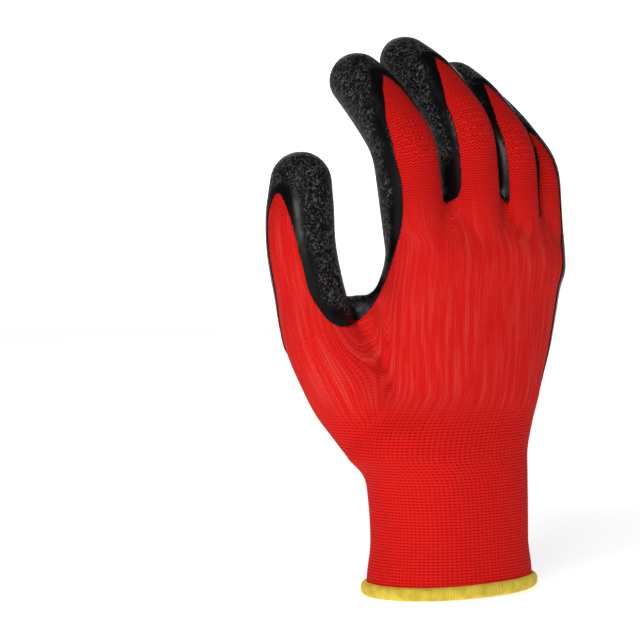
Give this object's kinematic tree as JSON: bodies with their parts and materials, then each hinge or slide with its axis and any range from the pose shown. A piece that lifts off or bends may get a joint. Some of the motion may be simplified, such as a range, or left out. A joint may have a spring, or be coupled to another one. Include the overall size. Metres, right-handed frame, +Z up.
{
  "type": "latex coated grip glove",
  "caption": "Right-hand knitted work glove with a crinkled latex grip coating on palm, fingers and thumb, a ribbed elastic cuff and a rolled hem, held in its worn form.",
  "frame": {"origin": "centre of the wrist opening, level with the hem's lowest edge", "axes": "+Z up the hand towards the fingertips, +Y out of the palm, +X towards the little finger's side"},
  "size_m": [0.1304, 0.0669, 0.2234],
  "materials": {
    "knit": "fine red knit, slightly sheened",
    "hem_yarn": "yellow overlock yarn, matt",
    "latex": "black crinkled latex, semi-gloss"
  },
  "bodies": {
    "root": {"knit_liner": "knit", "knit_cuff": "knit", "hem": "hem_yarn", "latex_coating": "latex"}
  },
  "joints": []
}
